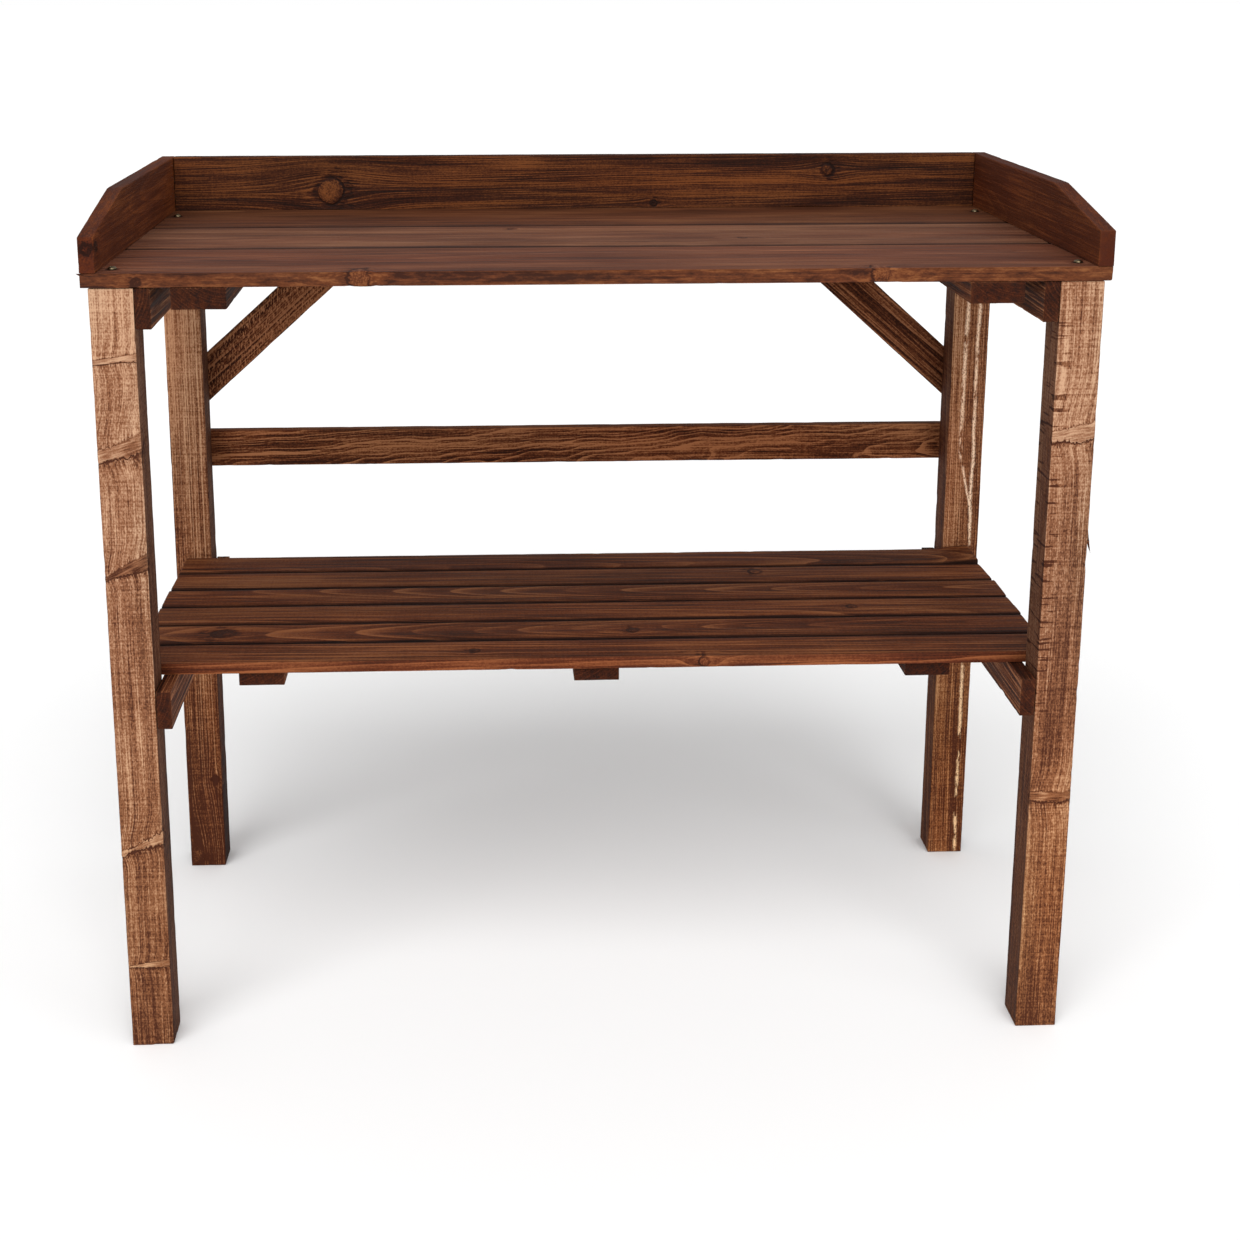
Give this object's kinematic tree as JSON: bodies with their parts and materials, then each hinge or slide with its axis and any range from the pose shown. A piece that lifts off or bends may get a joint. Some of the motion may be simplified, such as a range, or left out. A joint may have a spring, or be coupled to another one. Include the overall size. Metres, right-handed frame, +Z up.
{
  "type": "potting bench",
  "caption": "Stained timber potting bench with low upstands round the worktop, a slatted lower shelf and a cross-braced back.",
  "frame": {"origin": "middle of the bench's footprint box, at floor level", "axes": "+X to the right along the bench, +Y from the open front to the back, +Z up"},
  "size_m": [0.98, 0.495, 0.871],
  "materials": {
    "sawn_leg": "rough-sawn softwood, brown impregnated, lighter tan where the saw fibres catch the light",
    "worktop_board": "planed softwood, dark red-brown stain with a soft sheen",
    "upstand_board": "sawn softwood, dark brown stain with raised grain and knots",
    "shelf_board": "sawn softwood slat, dark brown stain with streaked grain",
    "stained_rail": "rough-sawn softwood, darkest brown stain",
    "zinc_screw": "dull zinc-plated steel, dirty round the rim"
  },
  "bodies": {
    "root": {"leg_front_left": "sawn_leg", "leg_front_right": "sawn_leg", "leg_back_left": "sawn_leg", "leg_back_right": "sawn_leg", "side_rail_upper_left": "stained_rail", "side_rail_upper_right": "stained_rail", "side_rail_lower_left": "stained_rail", "side_rail_lower_right": "stained_rail", "worktop_board_front": "worktop_board", "worktop_board_middle": "worktop_board", "worktop_board_rear": "worktop_board", "worktop_batten_left": "stained_rail", "worktop_batten_right": "stained_rail", "upstand_left": "upstand_board", "upstand_right": "upstand_board", "upstand_back": "upstand_board", "shelf_board_1": "shelf_board", "shelf_board_2": "shelf_board", "shelf_board_3": "shelf_board", "shelf_board_4": "shelf_board", "shelf_board_5": "shelf_board", "shelf_board_6": "shelf_board", "shelf_batten_left": "stained_rail", "shelf_batten_centre": "stained_rail", "shelf_batten_right": "stained_rail", "back_rail": "stained_rail", "brace_left": "stained_rail", "brace_right": "stained_rail", "worktop_screw_front_left": "zinc_screw", "worktop_screw_front_right": "zinc_screw", "worktop_screw_back_left": "zinc_screw", "worktop_screw_back_right": "zinc_screw"}
  },
  "joints": []
}
